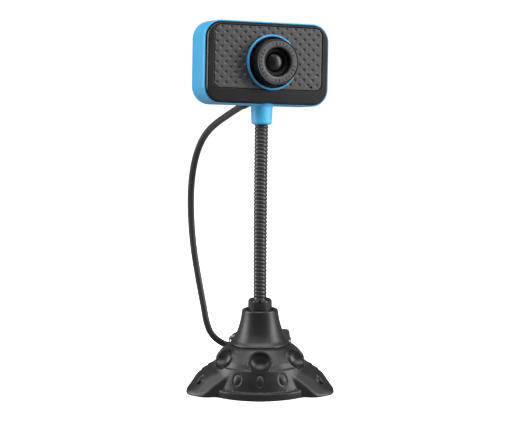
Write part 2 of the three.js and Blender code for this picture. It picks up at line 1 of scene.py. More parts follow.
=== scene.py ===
"""The looks of a desk webcam: a camera head on a gooseneck, a weighted base with three feet, and a USB cord.

Sizes are in millimetres, and MM brings them to metres. Points on the head are in the head's own axes: x to the
right of someone who faces it, y up the stem, z out of the front, with the origin where the neck meets the stem.
"""

import json
import math

import bmesh
import bpy
import numpy as np
from mathutils import Matrix, Vector

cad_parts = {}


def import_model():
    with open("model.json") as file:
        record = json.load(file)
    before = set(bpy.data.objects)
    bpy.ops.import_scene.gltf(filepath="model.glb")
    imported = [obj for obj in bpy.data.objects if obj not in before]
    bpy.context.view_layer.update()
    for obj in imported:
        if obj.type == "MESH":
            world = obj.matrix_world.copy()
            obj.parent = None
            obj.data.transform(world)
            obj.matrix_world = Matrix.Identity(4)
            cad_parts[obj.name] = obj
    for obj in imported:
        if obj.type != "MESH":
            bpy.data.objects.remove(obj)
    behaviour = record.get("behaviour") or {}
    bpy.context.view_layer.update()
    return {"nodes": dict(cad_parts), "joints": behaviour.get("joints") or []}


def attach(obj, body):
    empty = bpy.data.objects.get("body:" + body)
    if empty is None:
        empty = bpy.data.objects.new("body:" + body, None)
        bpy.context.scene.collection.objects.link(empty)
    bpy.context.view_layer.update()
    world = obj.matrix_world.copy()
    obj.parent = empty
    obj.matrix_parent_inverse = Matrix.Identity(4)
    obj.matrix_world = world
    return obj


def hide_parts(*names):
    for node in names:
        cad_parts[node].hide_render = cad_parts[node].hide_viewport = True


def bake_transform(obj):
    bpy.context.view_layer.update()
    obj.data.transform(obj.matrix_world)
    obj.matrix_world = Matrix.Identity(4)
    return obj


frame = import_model()

MM = 0.001
TURN = 2 * math.pi
JOINTS = {j["name"]: j for j in frame["joints"]}
LINKS = sum(name.startswith("neck_") for name in JOINTS)

# ---- sizes of the CAD solids ----
NECK_R, NECK_LENGTH = 3.95, 102.0
NECK_BOTTOM = 53.5
CORD_D = 4.2
GLAND_Y = 14.8
GLAND_DROOP = math.radians(14)
SHELL_BACK = -14.3
HEAD_W, HEAD_H, HEAD_CORNER, HEAD_MID = 79, 48, 10.4, 35
LENS = (1.8, 35.6)
PANEL_W, PANEL_H, PANEL_Y, PANEL_CORNER = 68, 35.9, 38.2, 4
FACE_Z = 8.6
LENS_OPENING_R = 15.3
MIC, MIC_R = (27.3, 22), 0.7
FOCUS_FRONT, FOCUS_WEB = 17.3, 14.3
SHELL_SCREW_X = 34
HANK_MID_Y, HANK_HALF_RUN = 84, 13.1
HANK_LANES = (12.6, 16.8)
HANK_LAYERS = (3.0, 7.2, 11.4)
TIE_Y, TIE_WIDTH = 88, 8
PLUG_PLACE = (-5.8, 84, 18.5)
FOOT_ANGLES = [math.radians(a) for a in (90, 200, 340)]
FOOT_TIP_R, FOOT_TIP_HALF, FOOT_ROOT_R, FOOT_ROOT_HALF, FOOT_HOLE_R = 45, 12.5, 20, 16.8, 37
FOOT_HOLE = 1.7
FOOT_TOP = [(FOOT_TIP_R + 1, 2.2), (41, 4.6), (38, 7), (35, 10.4), (31, 13.2), (27, 15.2), (FOOT_ROOT_R, 16.6)]
FOOT_FRONTS = (0, 1, -1)
FOOT_BEVEL = (45.8, 0.989, 0.564)
COVER_SCREW_R = 26
BOSS_ANGLES = [math.radians(30 + 120 * i) for i in range(3)]
CORD_DROP = [
    (-10.32, 31.06, 164.43), (-15.6, 41.9, 160.3), (-21, 53, 155.9), (-26.4, 64, 151.2),
    (-31.4, 74.4, 145.9), (-35.9, 83.8, 138.9), (-39.6, 91.6, 129.6), (-42.2, 97.6, 118.4),
    (-43.6, 101.8, 106), (-43.9, 104.6, 93), (-43.4, 106.4, 79.8), (-42.2, 107.4, 66.6),
    (-40.3, 107.9, 53.5), (-38, 108, 40), (-36.1, 108, 29.5), (-34.3, 108.1, 19.5),
    (-32, 108.6, 13), (-27.6, 109.3, 7.7), (-21.6, 110.3, 4.2), (-14.9, 111.5, 3),
]


# ---- camera ----
def camera():
    tilt_down = 7.5
    data = bpy.data.cameras.new("camera")
    data.lens = 132.4
    data.sensor_width = 36
    data.clip_start = 0.01
    eye = bpy.data.objects.new("camera", data)
    eye.location = (0, -1.1, 0.25)
    eye.rotation_euler = (math.radians(90 - tilt_down), 0, 0)
    bpy.context.scene.collection.objects.link(eye)
    bpy.context.scene.camera = eye


camera()


# ---- meshes ----
def head_axes():
    """The matrix from the head's own axes, in millimetres, to the shared frame in metres."""
    up = Vector(JOINTS["head_swivel"]["axis"]).normalized()
    forward = Vector(JOINTS["focus_turn"]["axis"])
    forward = (forward - up * forward.dot(up)).normalized()
    right = up.cross(forward)
    place = Matrix((right, up, forward)).transposed().to_4x4() @ Matrix.Scale(MM, 4)
    place.translation = Vector(JOINTS["head_swivel"]["pos_m"])
    return place


ROW = Matrix.Scale(MM, 4)
HEAD = head_axes()
OPTICS = HEAD @ Matrix.Translation((*LENS, 0))


def build(name, points, faces, material, place=ROW, sharp=35):
    """A mesh object from points in its own millimetres, smooth except over edges sharper than that angle."""
    mesh = bpy.data.meshes.new(name)
    mesh.from_pydata([tuple(p) for p in points], [], [tuple(f) for f in faces])
    mesh.transform(place)
    mesh.validate()
    mesh.update()
    mesh.shade_smooth()
    mesh.set_sharp_from_angle(angle=math.radians(sharp))
    mesh.materials.append(material)
    made = bpy.data.objects.new(name, mesh)
    bpy.context.scene.collection.objects.link(made)
    return made


def together(name, parts):
    """One object out of several that share a material."""
    bpy.ops.object.select_all(action="DESELECT")
    for part in parts:
        part.select_set(True)
    bpy.context.view_layer.objects.active = parts[0]
    bpy.ops.object.join()
    parts[0].name = name
    return parts[0]


def stand_in(piece, body, slot, *nodes):
    """The piece rides on that body and stands for those CAD nodes. The slot is not used."""
    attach(piece, body)
    if nodes:
        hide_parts(*nodes)
    return piece


def rounded(points, radius, steps=4):
    """An outline of (x, y) points with its corners rounded. A point may give its own radius as a third number."""
    out = []
    count = len(points)
    for i, point in enumerate(points):
        here = np.array(point[:2], float)
        before = np.array(points[i - 1][:2], float) - here
        after = np.array(points[(i + 1) % count][:2], float) - here
        r = point[2] if len(point) > 2 else radius
        reach = min(r, np.linalg.norm(before) * 0.45, np.linalg.norm(after) * 0.45)
        if reach < 0.02:
            out.append(tuple(here))
            continue
        a = here + before / np.linalg.norm(before) * reach
        b = here + after / np.linalg.norm(after) * reach
        for k in range(steps + 1):
            t = k / steps
            out.append(tuple((1 - t) ** 2 * a + 2 * t * (1 - t) * here + t * t * b))
    return out


def stitched(rings):
    """Quads between closed rings that have the same number of points."""
    size = len(rings[0])
    faces = []
    for i in range(len(rings) - 1):
        for j in range(size):
            k = (j + 1) % size
            faces.append((i * size + j, i * size + k, (i + 1) * size + k, (i + 1) * size + j))
    return faces


def lathe(name, profile, material, place=ROW, segments=96, sharp=35, reach=None):
    """A closed (radius, height) outline turned about z. reach(angle) may scale the radius."""
    outline = profile + profile[:1]
    rings = []
    for r, z in outline:
        ring = []
        for j in range(segments):
            a = TURN * j / segments
            rr = r if reach is None else reach(r, z, a)
            ring.append((rr * math.cos(a), rr * math.sin(a), z))
        rings.append(ring)
    points = [p for ring in rings for p in ring]
    faces = [f[::-1] for f in stitched(rings)]
    made = build(name, points, faces, material, place, sharp)
    return welded(made)


def welded(made):
    """The object with doubled points merged, flat faces dropped and its normals pointing out."""
    distance = 1e-6
    work = bmesh.new()
    work.from_mesh(made.data)
    bmesh.ops.remove_doubles(work, verts=work.verts, dist=distance)
    bmesh.ops.dissolve_degenerate(work, edges=work.edges, dist=distance / 10)
    bmesh.ops.recalc_face_normals(work, faces=work.faces)
    work.to_mesh(made.data)
    work.free()
    return made


def slab_ring(width, height, corner, z, steps=10, cx=0.0, cy=0.0):
    """The points of a rounded rectangle, anticlockwise, always the same number of them."""
    points = []
    for sx, sy, start in ((1, -1, -90), (1, 1, 0), (-1, 1, 90), (-1, -1, 180)):
        for k in range(steps + 1):
            a = math.radians(start + 90 * k / steps)
            x = sx * (width / 2 - corner) + corner * math.cos(a)
            y = sy * (height / 2 - corner) + corner * math.sin(a)
            points.append((cx + x, cy + y, z))
    return points


def loft(name, rings, material, place=ROW, capped=True, sharp=35):
    """A skin through rings that have the same number of points, with its ends closed where it is capped."""
    points = [p for ring in rings for p in ring]
    size = len(rings[0])
    faces = stitched(rings)
    if capped:
        faces.append(tuple(reversed(range(size))))
        faces.append(tuple(range(len(points) - size, len(points))))
    return welded(build(name, points, faces, material, place, sharp))


def applied(made):
    """The object with its modifiers made part of its mesh."""
    shape = bpy.data.meshes.new_from_object(made.evaluated_get(bpy.context.evaluated_depsgraph_get()))
    made.modifiers.clear()
    made.data = shape
    return made


def cutter(place, radius, low, high, material, segments):
    """A plain cylinder to drill with."""
    return lathe("cutter", [(0.001, low), (radius, low), (radius, high), (0.001, high)], material, place, segments)


def drilled(made, cutters):
    """The object with the cutters' shapes taken out of it. The cutters are used up."""
    for tool in cutters:
        step = made.modifiers.new("hole", "BOOLEAN")
        step.operation = "DIFFERENCE"
        step.solver = "EXACT"
        step.object = tool
    applied(made)
    for tool in cutters:
        bpy.data.objects.remove(tool)
    return made


# ---- curves ----
def smooth_line(points, step):
    """Points a step apart on a centripetal Catmull-Rom curve through these."""
    p = np.array(points, float)
    p = np.vstack([2 * p[0] - p[1], p, 2 * p[-1] - p[-2]])
    fine = []
    for i in range(1, len(p) - 2):
        q = p[i - 1 : i + 3]
        t = np.concatenate([[0], np.cumsum(np.sqrt(np.linalg.norm(np.diff(q, axis=0), axis=1)))])
        for u in np.linspace(t[1], t[2], 24, endpoint=False):
            a = [((t[k + 1] - u) * q[k] + (u - t[k]) * q[k + 1]) / (t[k + 1] - t[k]) for k in range(3)]
            b = [((t[k + 2] - u) * a[k] + (u - t[k]) * a[k + 1]) / (t[k + 2] - t[k]) for k in range(2)]
            fine.append(((t[2] - u) * b[0] + (u - t[1]) * b[1]) / (t[2] - t[1]))
    fine.append(p[-2])
    return spaced(np.array(fine), step)


def spaced(line, step):
    """The same line with its points evenly spaced, about a step apart."""
    along = np.concatenate([[0], np.cumsum(np.linalg.norm(np.diff(line, axis=0), axis=1))])
    at = np.linspace(0, along[-1], max(2, round(along[-1] / step) + 1))
    return np.stack([np.interp(at, along, line[:, k]) for k in range(3)], axis=1)


def carried_frames(line):
    """Two directions across the line at each point, carried along it without twist."""
    tangents = np.gradient(line, axis=0)
    tangents /= np.linalg.norm(tangents, axis=1)[:, None]
    side = np.cross(tangents[0], (0.0, 0.0, 1.0))
    if np.linalg.norm(side) < 0.1:
        side = np.cross(tangents[0], (1.0, 0.0, 0.0))
    frames = []
    for t in tangents:
        side = side - t * side.dot(t)
        side /= np.linalg.norm(side)
        frames.append((side, np.cross(t, side)))
    return frames


def tube_rings(line, radius, sides):
    """Round rings across the line at each of its points."""
    rings = []
    for point, (a, b) in zip(line, carried_frames(line)):
        angles = [TURN * k / sides for k in range(sides)]
        rings.append([point + radius * (math.cos(w) * a + math.sin(w) * b) for w in angles])
    return rings


def eased(t):
    """0 up to t = 0 and 1 from t = 1, with a smooth step between."""
    t = min(1.0, max(0.0, t))
    return t * t * (3 - 2 * t)


# ---- signed distances, for shapes that flow into each other ----
def outline_distance(px, py, points):
    """The distance to a closed outline, negative inside it."""
    best = np.full(px.shape, np.inf)
    inside = np.zeros(px.shape, bool)
    for (ax, ay), (bx, by) in zip(points, points[1:] + points[:1]):
        ex, ey = bx - ax, by - ay
        wx, wy = px - ax, py - ay
        t = np.clip((wx * ex + wy * ey) / (ex * ex + ey * ey), 0, 1)
        best = np.minimum(best, (wx - ex * t) ** 2 + (wy - ey * t) ** 2)
        if ey:
            inside ^= ((ay > py) != (by > py)) & (px < ax + (py - ay) * ex / ey)
    return np.where(inside, -1.0, 1.0) * np.sqrt(best)


def blended_min(a, b, k):
    """The smaller of two distances, with a fillet about k wide where they meet."""
    h = np.clip(0.5 + 0.5 * (b - a) / k, 0, 1)
    return b + (a - b) * h - k * h * (1 - h)


def blended_max(a, b, k):
    return -blended_min(-a, -b, k)


def level_surface(field, low, step):
    """Points and quads where a grid of signed distances crosses zero."""
    inside = field < 0
    cells = tuple(n - 1 for n in field.shape)
    count = np.zeros(cells, np.int8)
    corners = [(i, j, k) for i in (0, 1) for j in (0, 1) for k in (0, 1)]
    for i, j, k in corners:
        count += inside[i : i + cells[0], j : j + cells[1], k : k + cells[2]]
    at = np.argwhere((count > 0) & (count < 8))
    total = np.zeros((len(at), 3))
    hits = np.zeros(len(at))
    for a in corners:
        for axis in range(3):
            if a[axis]:
                continue
            b = tuple(v + (n == axis) for n, v in enumerate(a))
            fa = field[tuple((at + a).T)]
            fb = field[tuple((at + b).T)]
            crosses = (fa < 0) != (fb < 0)
            t = np.where(crosses, fa / np.where(crosses, fa - fb, 1), 0)
            spot = (at + a).astype(float)
            spot[:, axis] += t
            total[crosses] += spot[crosses]
            hits[crosses] += 1
    points = np.array(low) + step * total / hits[:, None]
    ids = np.full(cells, -1)
    ids[tuple(at.T)] = np.arange(len(at))
    faces = []
    for axis in range(3):
        u, v = (axis + 1) % 3, (axis + 2) % 3
        near = np.take(inside, range(field.shape[axis] - 1), axis)
        far = np.take(inside, range(1, field.shape[axis]), axis)
        for spot in np.argwhere(near != far):
            if not (0 < spot[u] < cells[u] and 0 < spot[v] < cells[v]):
                continue
            quad = []
            for du, dv in ((-1, -1), (0, -1), (0, 0), (-1, 0)):
                cell = spot.copy()
                cell[u] += du
                cell[v] += dv
                quad.append(ids[tuple(cell)])
            faces.append(quad if near[tuple(spot)] else quad[::-1])
    return points, faces


# ---- materials ----
def linear(*srgb):
    """A colour given as 0 to 255 in sRGB, as the shader wants it."""
    out = [c / 255 / 12.92 if c <= 10 else ((c / 255 + 0.055) / 1.055) ** 2.4 for c in srgb]
    return (*out, 1.0)


def finish_of(name, colour, rough, grain=900, depth=0.02, mottle=0.08, edge_highlight_and_wear=0.0, **sockets):
    """A moulded or metal surface: fine grain, cloudy roughness, faint colour change, and convex edges painted
    lighter, a painted edge highlight as well as edge wear.
    """
    material = bpy.data.materials.new(name)
    material.use_nodes = True
    nodes, links = material.node_tree.nodes, material.node_tree.links
    shader = nodes["Principled BSDF"]
    for socket, value in sockets.items():
        shader.inputs[socket.replace("_", " ")].default_value = value
    place = nodes.new("ShaderNodeTexCoord").outputs["Object"]
    cloud = nodes.new("ShaderNodeTexNoise")
    cloud.inputs["Scale"].default_value = 60
    cloud.inputs["Detail"].default_value = 5
    links.new(place, cloud.inputs["Vector"])
    tint = nodes.new("ShaderNodeValToRGB")
    tint.color_ramp.elements[0].position = 0.3
    tint.color_ramp.elements[1].position = 0.7
    tint.color_ramp.elements[0].color = (*[c * (1 - mottle) for c in colour[:3]], 1)
    tint.color_ramp.elements[1].color = (*[min(1, c * (1 + mottle)) for c in colour[:3]], 1)
    links.new(cloud.outputs["Fac"], tint.inputs["Fac"])
    out = tint.outputs["Color"]
    # Convex edges, found by pointiness, are painted lighter: a painted highlight along edges that would catch the
    # light, together with edge wear.
    if edge_highlight_and_wear:
        edge = nodes.new("ShaderNodeValToRGB")
        edge.color_ramp.elements[0].position = 0.52
        edge.color_ramp.elements[1].position = 0.62
        edge.color_ramp.elements[1].color = (edge_highlight_and_wear, edge_highlight_and_wear, edge_highlight_and_wear, 1)
        links.new(nodes.new("ShaderNodeNewGeometry").outputs["Pointiness"], edge.inputs["Fac"])
        mix = nodes.new("ShaderNodeMixRGB")
        mix.inputs["Color2"].default_value = (*[min(1, c * 1.5 + 0.04) for c in colour[:3]], 1)
        links.new(edge.outputs["Color"], mix.inputs["Fac"])
        links.new(out, mix.inputs["Color1"])
        out = mix.outputs["Color"]
    links.new(out, shader.inputs["Base Color"])
    gloss = nodes.new("ShaderNodeMapRange")
    gloss.inputs["To Min"].default_value = max(0.02, rough - 0.06)
    gloss.inputs["To Max"].default_value = min(1, rough + 0.06)
    links.new(cloud.outputs["Fac"], gloss.inputs["Value"])
    links.new(gloss.outputs["Result"], shader.inputs["Roughness"])
    fine = nodes.new("ShaderNodeTexNoise")
    fine.inputs["Scale"].default_value = grain
    fine.inputs["Detail"].default_value = 3
    links.new(place, fine.inputs["Vector"])
    bump = nodes.new("ShaderNodeBump")
    bump.inputs["Strength"].default_value = 1
    bump.inputs["Distance"].default_value = depth * MM
    links.new(fine.outputs["Fac"], bump.inputs["Height"])
    links.new(bump.outputs["Normal"], shader.inputs["Normal"])
    return material


def glass_of(name, colour, rough, **sockets):
    """A smooth, nearly even finish."""
    return finish_of(name, colour, rough, depth=0.001, mottle=0.03, **sockets)


# The black plastic's convex edges are painted slightly lighter: a faint painted edge highlight together with edge
# wear.
BLACK = finish_of("base_plastic", linear(25, 25, 27), 0.4, grain=1400, depth=0.015, edge_highlight_and_wear=0.3,
                  Specular_IOR_Level=0.38)
NECK = finish_of("neck_coat", linear(38, 37, 38), 0.36, grain=2500, depth=0.01)
# The shell's strongly lightened edges paint the bright highlight line along its front rim.
BLUE = finish_of("shell_plastic", linear(49, 143, 186), 0.42, depth=0.008, mottle=0.03, edge_highlight_and_wear=0.8)
# A brighter, rougher copy of the shell's blue for the same plastic on the stem: painted light on the stem's front.
STEM_PAINTED_LIGHT = finish_of("stem_painted_light", linear(64, 174, 224), 0.5, depth=0.008, mottle=0.03)
# The trim ring's strong edge lightening paints its thin bright edge line, a painted highlight.
TRIM = finish_of("trim_plastic", linear(54, 154, 200), 0.3, depth=0.006, mottle=0.03, edge_highlight_and_wear=0.9,
                 Coat_Weight=0.2)
# Dark navy for the dish in the lens recess: painted shade that darkens the recess round the focus ring.
DISH_NAVY_SHADE = finish_of("dish_navy_shade", linear(12, 16, 34), 0.4, depth=0.008)
BEZEL = finish_of("bezel_gloss", linear(16, 16, 17), 0.34, depth=0.004, mottle=0.05, Specular_IOR_Level=0.32)
PANEL = finish_of("panel_plastic", linear(47, 46, 48), 0.5, grain=1800, depth=0.02, mottle=0.1)
FOCUS = finish_of("focus_plastic", linear(62, 61, 62), 0.5, grain=1600, depth=0.015)
# Near black for the focus ring's side: painted shade on the side wall, darker than the ring's face plate; the
# ticks on the face take it as their mark colour.
FOCUS_SHADE_AND_TICKS = finish_of("focus_side_shade_and_ticks", linear(16, 16, 17), 0.45, grain=1600, depth=0.012,
                       Specular_IOR_Level=0.35)
TUBE_BLACK = finish_of("barrel_coat", linear(5, 5, 6), 0.6, depth=0.01, Specular_IOR_Level=0.2)
GLASS = glass_of("lens_glass", linear(10, 11, 14), 0.3, Specular_IOR_Level=0.3)
FILTER = glass_of("filter_glass", linear(120, 60, 90), 0.05, Coat_Weight=0.8)
STEEL = finish_of("plated_steel", linear(188, 190, 194), 0.3, grain=700, depth=0.01, Metallic=1.0)
IRON = finish_of("cast_weight", linear(92, 92, 94), 0.6, grain=300, depth=0.08, Metallic=0.9)
CORD = finish_of("cord_jacket", linear(36, 36, 37), 0.42, grain=1200, depth=0.012)
RUBBER = finish_of("pad_foam", linear(30, 30, 30), 0.85, grain=2600, depth=0.06, mottle=0.15)
STRAP = finish_of("strap_weave", linear(24, 24, 26), 0.95, grain=1900, depth=0.25, Sheen_Weight=0.6)
BOARD = finish_of("board_mask", linear(28, 92, 52), 0.35, grain=500, depth=0.03, mottle=0.2)
SENSOR = finish_of("sensor_die", linear(40, 44, 60), 0.12, mottle=0.3)
WHITE = finish_of("white_nylon", linear(214, 212, 204), 0.5)

# ---- the cord's falling stretch: one smooth curve cut into one piece more than the neck has links ----
DROP_LINE = smooth_line(CORD_DROP, 1.5)
DROP_RINGS = tube_rings(DROP_LINE, CORD_D / 2, 14)


def drop_piece(i, first, last):
    """One piece of the falling cord, counted down from the head."""
    rings = DROP_RINGS[first : last + 1]
    made = loft(f"cord_drop_{i + 1}", rings, CORD)
    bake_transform(made)
    if i == 0:
        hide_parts("usb_cord_drop")


cuts = np.linspace(0, len(DROP_LINE) - 1, LINKS + 2).round().astype(int)
for i in range(LINKS + 1):
    drop_piece(i, cuts[i], cuts[i + 1])


# ---- the hank on the table ----
def lap(lane, layer, next_lane, next_layer):
    """Once round, clockwise from the far end, moving to the next lane or layer on the left run."""
    points = []
    for a in range(85, -1, -17):
        points.append(arc_point(lane, a, HANK_HALF_RUN, layer))
    for a in range(0, -181, -18):
        points.append(arc_point(lane, a, -HANK_HALF_RUN, layer))
    for t in (0.25, 0.5, 0.75):
        r = lane + (next_lane - lane) * eased(t)
        z = layer + (next_layer - layer) * eased(t)
        points.append((-r, HANK_MID_Y - HANK_HALF_RUN + 2 * HANK_HALF_RUN * t, z))
    for a in range(180, 95, -17):
        points.append(arc_point(next_lane, a, HANK_HALF_RUN, next_layer))
    return points


def arc_point(r, degrees, shift, z):
    a = math.radians(degrees)
    return (r * math.cos(a), HANK_MID_Y + shift + r * math.sin(a), z)


def hank_route():
    inner, outer = HANK_LANES
    low, middle, high = HANK_LAYERS
    route = [CORD_DROP[-1], (-8.9, 112.6, low)]
    route += lap(outer, low, inner, low)
    route += lap(inner, low, inner, middle)
    route += lap(inner, middle, outer, middle)
    route += lap(outer, middle, inner, high)
    route += lap(inner, high, outer, high)
    top = high + CORD_D + 0.3
    for a in range(85, -1, -17):
        route.append(arc_point(outer, a, HANK_HALF_RUN, high + (top - high) * eased((90 - a) / 130)))
    route += [(outer, 90, high + (top - high) * eased(0.85)), (outer, 83, top), (outer, 77, top)]
    for a in range(0, -181, -18):
        w = math.radians(a)
        x, y = outer - inner + inner * math.cos(w), 71 + inner * math.sin(w)
        route.append((x, y, top + (17.5 - top) * -a / 180))
    route += [(-7.6, 77.2, 18.1), (-6.2, 81, 18.4), (-5.8, 83.4, 18.5)]
    return route


HANK_LINE = smooth_line(hank_route(), 1.5)
hank = loft("cord_hank", tube_rings(HANK_LINE, CORD_D / 2, 12), CORD)
stand_in(hank, "base", "cord_jacket", "usb_cord_hank", "usb_cord_tail")


def tie():
    """A hook-and-loop strap round the hank, slightly uneven across its width."""
    half, top, thick = 19.85, 14.45, 0.75
    side, low, high = half - thick, thick, top - thick
    outer = rounded([(-half, 0), (half, 0), (half, top), (-half, top)], 3.4, 8)
    inner = rounded([(-side, low), (side, low), (side, high), (-side, high)], 2.7, 8)
    across = np.linspace(-TIE_WIDTH / 2, TIE_WIDTH / 2, 9)
    outside = []
    for k, y in enumerate(across):
        sway = 0.12 * math.sin(2.4 * k)
        outside.append([(x * (1 - 0.004 * abs(sway)), TIE_Y + y + sway * 0.5, z) for x, z in outer])
    inside = [[(x, TIE_Y + y, z) for x, z in inner] for y in across[::-1]]
    return loft("cord_strap", outside + inside + outside[:1], STRAP, capped=False, sharp=50)


def plug_axes():
    """The matrix from the plug's own axes, with z towards its tip, to the shared frame."""
    place = Matrix.Translation(Vector(PLUG_PLACE) * MM) @ Matrix.Rotation(-math.pi / 2, 4, "X")
    return place @ Matrix.Scale(MM, 4)


def plug_grip():
    """The moulded grip, from its ribbed strain relief to the metal shell. Its z runs towards the plug's tip."""
    rings = []
    for k in range(13):
        z = 0.1 + k * 0.42
        r = 2.55 + 0.035 * k + (0.32 if k % 4 in (1, 2) else 0)
        rings.append(slab_ring(2 * r, 2 * r, r - 0.01, z, 6))
    for z, w, h, c in ((5.4, 8.6, 6.6, 2.6), (5.9, 10.6, 7.2, 2.2), (6.8, 11.5, 7.4, 1.9), (9, 11.6, 7.4, 1.8)):
        rings.append(slab_ring(w, h, c, z, 6))
    for k in range(25):
        z = 9.4 + 0.32 * k
        dip = 0.5 * max(0, math.sin(TURN * k / 5)) if 1 < k < 22 else 0
        rings.append(slab_ring(11.6 - 2 * dip, 7.4 - 0.3 * dip, 1.8, z, 6))
    for z, w, h, c in ((20.6, 11.6, 7.4, 1.8), (21.4, 11.4, 7.2, 1.7), (21.9, 10.6, 6.4, 1.4), (22, 10, 5.8, 1.2)):
        rings.append(slab_ring(w, h, c, z, 6))
    return loft("plug_body", rings, CORD, plug_axes(), sharp=40)


def plug_shell():
    """The metal shell, open at its tip, with its two windows on each side."""
    near, far = 22.0, 40.2
    rings = [slab_ring(12, 4.5, 0.6, near, 4), slab_ring(12, 4.5, 0.6, far - 0.2, 4)]
    rings += [slab_ring(11.8, 4.3, 0.5, far, 4), slab_ring(11.4, 3.9, 0.3, far, 4)]
    rings += [slab_ring(11.4, 3.9, 0.3, near + 1, 4)]
    made = loft("plug_metal", rings, STEEL, plug_axes())
    windows = []
    for x in (-3.2, 3.2):
        hole = [slab_ring(2.4, 2.4, 0.3, z, 2, x, 33.2) for z in (-4, 4)]
        turned = [[(px, pz, py) for px, py, pz in ring] for ring in hole]
        windows.append(loft("window", turned, STEEL, plug_axes()))
    return drilled(made, windows)


plug_pieces = [
    stand_in(plug_grip(), "base", "cord_jacket", "plug_grip"),
    stand_in(plug_shell(), "base", "steel", "plug_shell"),
    frame["nodes"]["plug_tongue"],
]
strap = stand_in(tie(), "base", "tie_fabric", "cord_tie")


# ---- base ----
def foot_field(x, y, z, front, inset, drop, bottom):
    """The distance to one foot along +x, bevelled on its left (front = 1), its right (-1) or not at all (0)."""
    tip = FOOT_TIP_HALF - inset
    centre = FOOT_TIP_R - FOOT_TIP_HALF
    plan = [(FOOT_ROOT_R, inset - FOOT_ROOT_HALF)]
    for k in range(13):
        a = math.radians(-90 + 15 * k)
        plan.append((centre + tip * math.cos(a), tip * math.sin(a)))
    plan.append((FOOT_ROOT_R, FOOT_ROOT_HALF - inset))
    end = FOOT_TIP_R + 1
    side = [(FOOT_ROOT_R, bottom), (end, bottom)] + [(r, top - drop) for r, top in FOOT_TOP]
    across = outline_distance(x[:, :, 0], y[:, :, 0], plan)[:, :, None]
    body = blended_max(np.broadcast_to(across, x.shape), outline_distance(x, z, side), 1.6)
    if not front:
        return body
    height, slope, lean = FOOT_BEVEL
    over = z + 1.5 * drop + slope * x + lean * front * y - height
    return blended_max(body, over / math.hypot(slope, lean, 1), 1.6)


def turned_about(x, y, angle):
    """The same place in axes turned by that angle about z."""
    c, s = math.cos(angle), math.sin(angle)
    return c * x + s * y, c * y - s * x


def base_field(x, y, z):
    """The distance to the base: a hollow dome with three hollow feet, their holes and the cover's screw posts."""
    r = np.hypot(x, y)
    outside = [(0, 0), (33, 0), (33, 3.9), (32.5, 4.4), (31.7, 4.4), (31.1, 5.8), (29.6, 11), (27.5, 16.2),
               (26.6, 16.8), (25, 19.6), (22.1, 23.2), (19.3, 26.4), (18, 27.4), (0, 27.4)]
    inside = [(0, -9), (31, -9), (31, 5), (28.6, 6.4), (26.5, 12), (21, 14.5), (12, 24), (0, 25.4)]
    field = outline_distance(r, z, outside)
    hollow = outline_distance(r, z, inside)
    for angle, front in zip(FOOT_ANGLES, FOOT_FRONTS):
        fx, fy = turned_about(x, y, angle)
        field = blended_min(field, foot_field(fx, fy, z, front, 0, 0, 0.0), 0.7)
        under = np.maximum(foot_field(fx, fy, z, front, 1.9, 2.0, -9), 33.3 - r)
        post = np.hypot(fx - FOOT_HOLE_R, fy) - 3.2
        field = np.maximum(field, -np.maximum(under, -post))
    field = np.maximum(field, -hollow)
    for angle in BOSS_ANGLES:
        fx, fy = turned_about(x, y, angle)
        post = np.maximum(np.hypot(fx - COVER_SCREW_R, fy) - 3, 3 - z)
        field = np.minimum(field, np.maximum(post, outline_distance(r, z, outside)))
        field = np.maximum(field, -np.maximum(np.hypot(fx - COVER_SCREW_R, fy) - 1.6, z - 11))
    for angle in FOOT_ANGLES:
        fx, fy = turned_about(x, y, angle)
        hole = np.hypot(fx - FOOT_HOLE_R, fy)
        field = np.maximum(field, FOOT_HOLE - hole)
        field = blended_max(field, -(hole - FOOT_HOLE - 0.5 * np.clip(z - 6.6, 0, 2)), 0.3)
    field = base_marks(field, x, y, z)
    return np.maximum(field, 3.7 - r)


def base_marks(field, x, y, z):
    """The six dimples round the dome, each in a low boss with a thin lip, and the ovals on the skirt."""
    normal = np.array((0.79, 0.62))
    middle = np.array((24.1, 20.7))
    boss_r, bowl_r, lip_r, near = 6.9, 6.9, 6.55, 10
    for k in range(6):
        fx, fy = turned_about(x, y, math.radians(90 + 60 * k))
        dx, dz = fx - middle[0], z - middle[1]
        out = dx * normal[0] + dz * normal[1]
        down = dx * normal[1] - dz * normal[0]
        off = np.hypot(fy, down)
        boss = np.maximum(off - boss_r, np.abs(out) - 0.3)
        field = np.where(off < near, blended_min(field, boss, 0.9), field)
        lip = np.hypot(off - lip_r, out - 0.2) - 0.4
        field = np.where(off < near, blended_min(field, lip, 0.35), field)
        bowl = np.sqrt(off**2 + (out - 2.6) ** 2) - bowl_r
        field = np.where((off < near) & (out > -5), blended_max(field, -bowl, 0.3), field)
    for k in range(3):
        for spread in (-26.5, 0, 26.5):
            fx, fy = turned_about(x, y, math.radians(-90 + 120 * k + spread))
            oval = np.hypot(fy / 2.3, (z - 11.2) / 2.9)
            groove = np.exp(-(((oval - 1) / 0.2) ** 2)) * 0.38 - np.exp(-((oval / 0.75) ** 2)) * 0.28
            field = field + np.where((fx > 27) & (oval < 2), groove, 0)
    return field


def base():
    step = 0.45
    low = np.array((-45.0, -34.2, -0.9))
    high = np.array((45.0, 50.6, 29.2))
    axes = [np.arange(a, b, step) for a, b in zip(low, high)]
    x, y, z = np.meshgrid(*axes, indexing="ij")
    points, faces = level_surface(base_field(x, y, z), low, step)
    points[:, 2] = np.maximum(points[:, 2], 0)
    return build("base_body", points, faces, BLACK, sharp=50)


